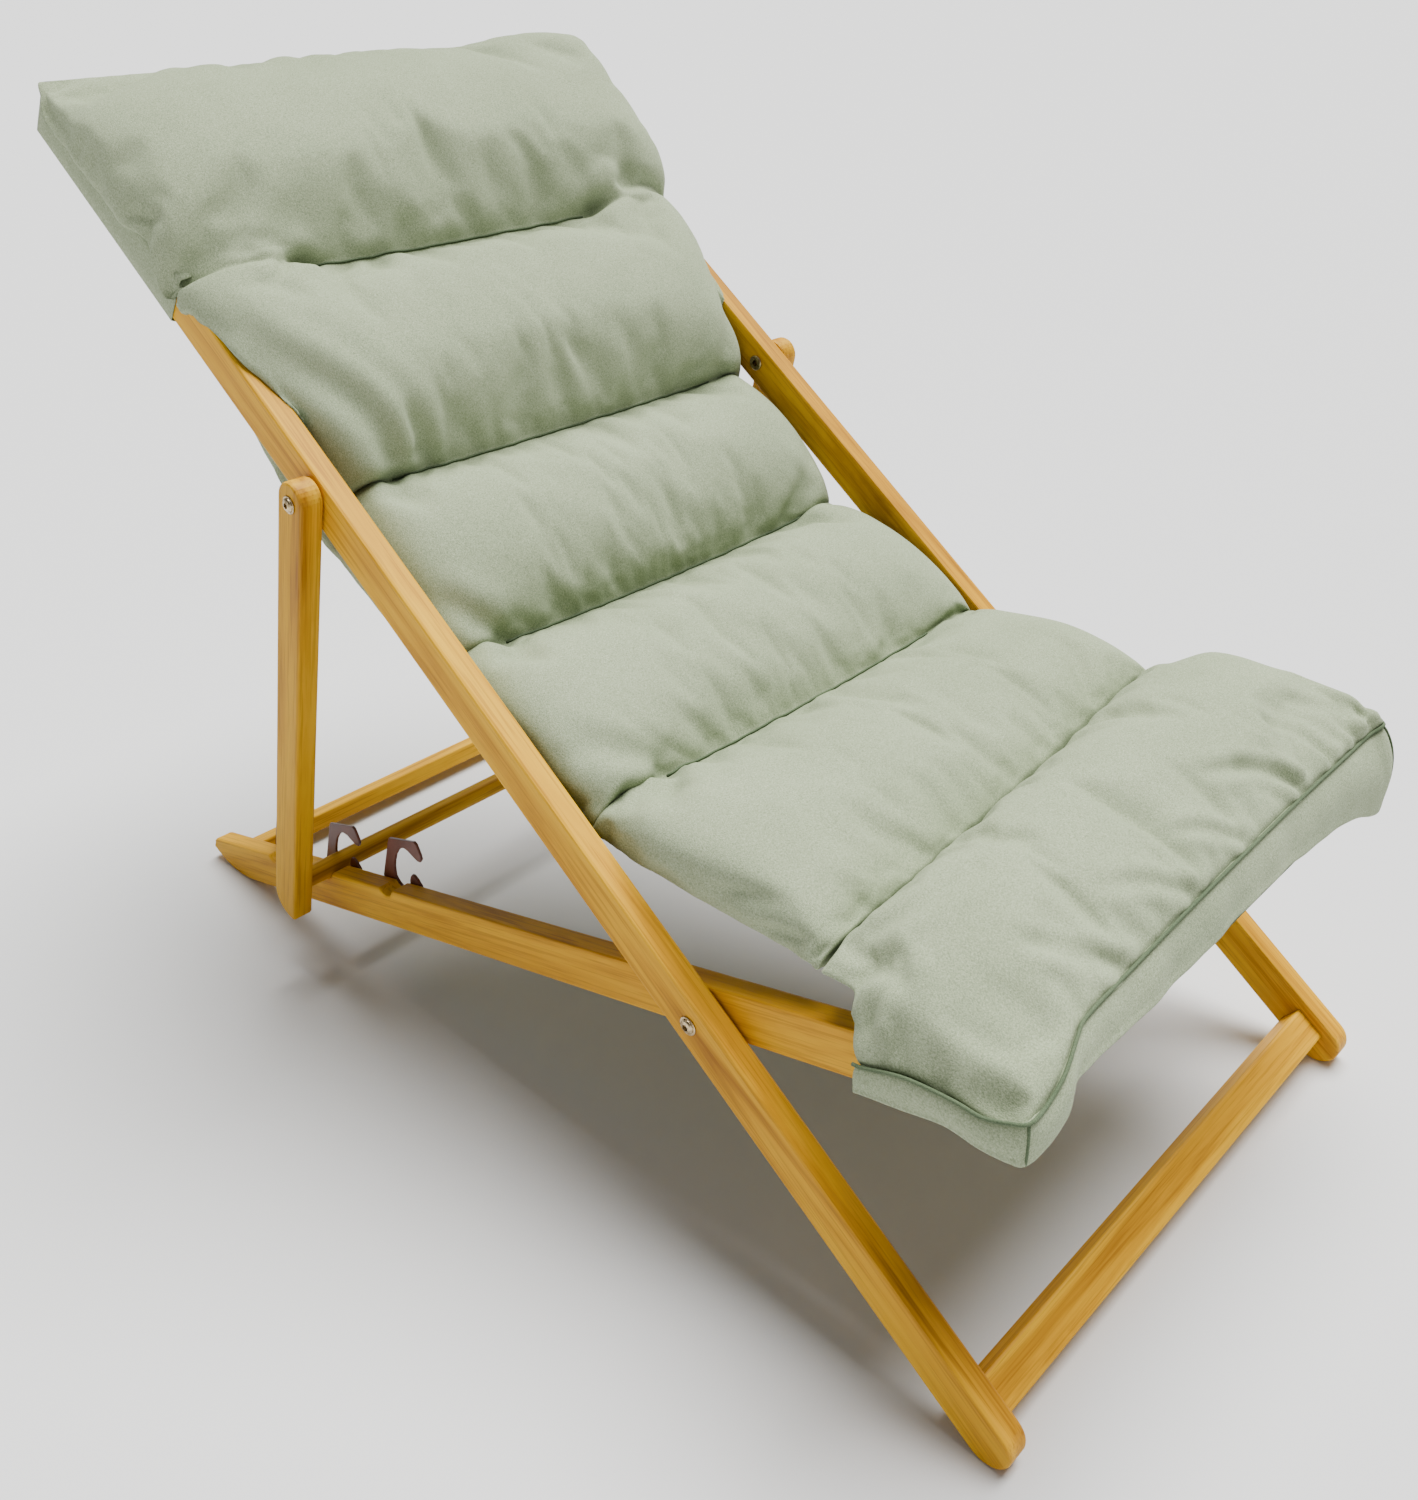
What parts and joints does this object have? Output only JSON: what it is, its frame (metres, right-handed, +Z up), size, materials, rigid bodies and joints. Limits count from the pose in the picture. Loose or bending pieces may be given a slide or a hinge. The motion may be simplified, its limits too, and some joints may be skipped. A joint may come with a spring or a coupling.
{
  "type": "folding deck chair",
  "caption": "Folding timber deck chair with a canvas sling and a quilted padded cover; the back reclines by a prop frame whose dowel rests in notches under catch hooks.",
  "frame": {"origin": "on the ground, under the centre of the bounding box", "axes": "+Z up; the sitter faces -Y; +X is the sitter's left; the hinge axes lie along X"},
  "size_m": [0.6354, 1.1256, 0.8546],
  "materials": {
    "oiled_hardwood": "satin oil",
    "bronzed_steel": "satin",
    "brown_nylon": "semi-gloss",
    "washer_nylon": "matte",
    "sling_canvas": "woven canvas",
    "quilted_cover": "heathered weave, stuffed and quilted"
  },
  "bodies": {
    "back_frame": {"back_rail_left": "oiled_hardwood", "back_rail_right": "oiled_hardwood", "head_bar": "oiled_hardwood", "foot_bar": "oiled_hardwood", "sling": "sling_canvas", "head_panel": "quilted_cover", "hood_end": "quilted_cover", "hood_back": "quilted_cover", "upper_back_panel": "quilted_cover", "lower_back_panel": "quilted_cover", "seat_rear_panel": "quilted_cover", "seat_pivot_bolt_left": "bronzed_steel", "seat_pivot_bolt_right": "bronzed_steel", "seat_pivot_nut_left": "bronzed_steel", "seat_pivot_nut_right": "bronzed_steel", "seat_pivot_washer_left": "washer_nylon", "seat_pivot_washer_right": "washer_nylon", "prop_pivot_bolt_left": "bronzed_steel", "prop_pivot_bolt_right": "bronzed_steel", "prop_pivot_nut_left": "bronzed_steel", "prop_pivot_nut_right": "bronzed_steel", "prop_pivot_washer_left": "washer_nylon", "prop_pivot_washer_right": "washer_nylon"},
    "seat_frame": {"seat_rail_left": "oiled_hardwood", "seat_rail_right": "oiled_hardwood", "rear_bar": "oiled_hardwood", "knee_bar": "oiled_hardwood", "catch_hook_left_1": "brown_nylon", "catch_hook_left_2": "brown_nylon", "catch_hook_left_3": "brown_nylon", "catch_hook_right_1": "brown_nylon", "catch_hook_right_2": "brown_nylon", "catch_hook_right_3": "brown_nylon", "hook_screw_left_1": "bronzed_steel", "hook_screw_left_2": "bronzed_steel", "hook_screw_left_3": "bronzed_steel", "hook_screw_left_4": "bronzed_steel", "hook_screw_left_5": "bronzed_steel", "hook_screw_left_6": "bronzed_steel", "hook_screw_right_1": "bronzed_steel", "hook_screw_right_2": "bronzed_steel", "hook_screw_right_3": "bronzed_steel", "hook_screw_right_4": "bronzed_steel", "hook_screw_right_5": "bronzed_steel", "hook_screw_right_6": "bronzed_steel", "seat_front_panel": "quilted_cover", "knee_panel": "quilted_cover", "knee_band_front": "quilted_cover", "knee_band_left": "quilted_cover", "knee_band_right": "quilted_cover"},
    "prop_frame": {"prop_rail_left": "oiled_hardwood", "prop_rail_right": "oiled_hardwood", "prop_dowel": "oiled_hardwood"}
  },
  "joints": [
    {"name": "seat_fold", "type": "hinge", "parent": "back_frame", "child": "seat_frame", "pos_m": [0, -0.25945, 0.2285], "axis": [1, 0, 0], "range_deg": [0, 38], "deforming": ["sling", "head_panel", "hood_end", "hood_back", "upper_back_panel", "lower_back_panel", "seat_rear_panel", "seat_front_panel", "knee_panel", "knee_band_front", "knee_band_left", "knee_band_right"]},
    {"name": "prop_swing", "type": "hinge", "parent": "back_frame", "child": "prop_frame", "pos_m": [0, 0.16779, 0.54349], "axis": [1, 0, 0], "range_deg": [0, 105.8]}
  ],
  "couplings": [
    {"joint": "prop_swing", "follows": "seat_fold", "ratio": 2.7816}
  ]
}
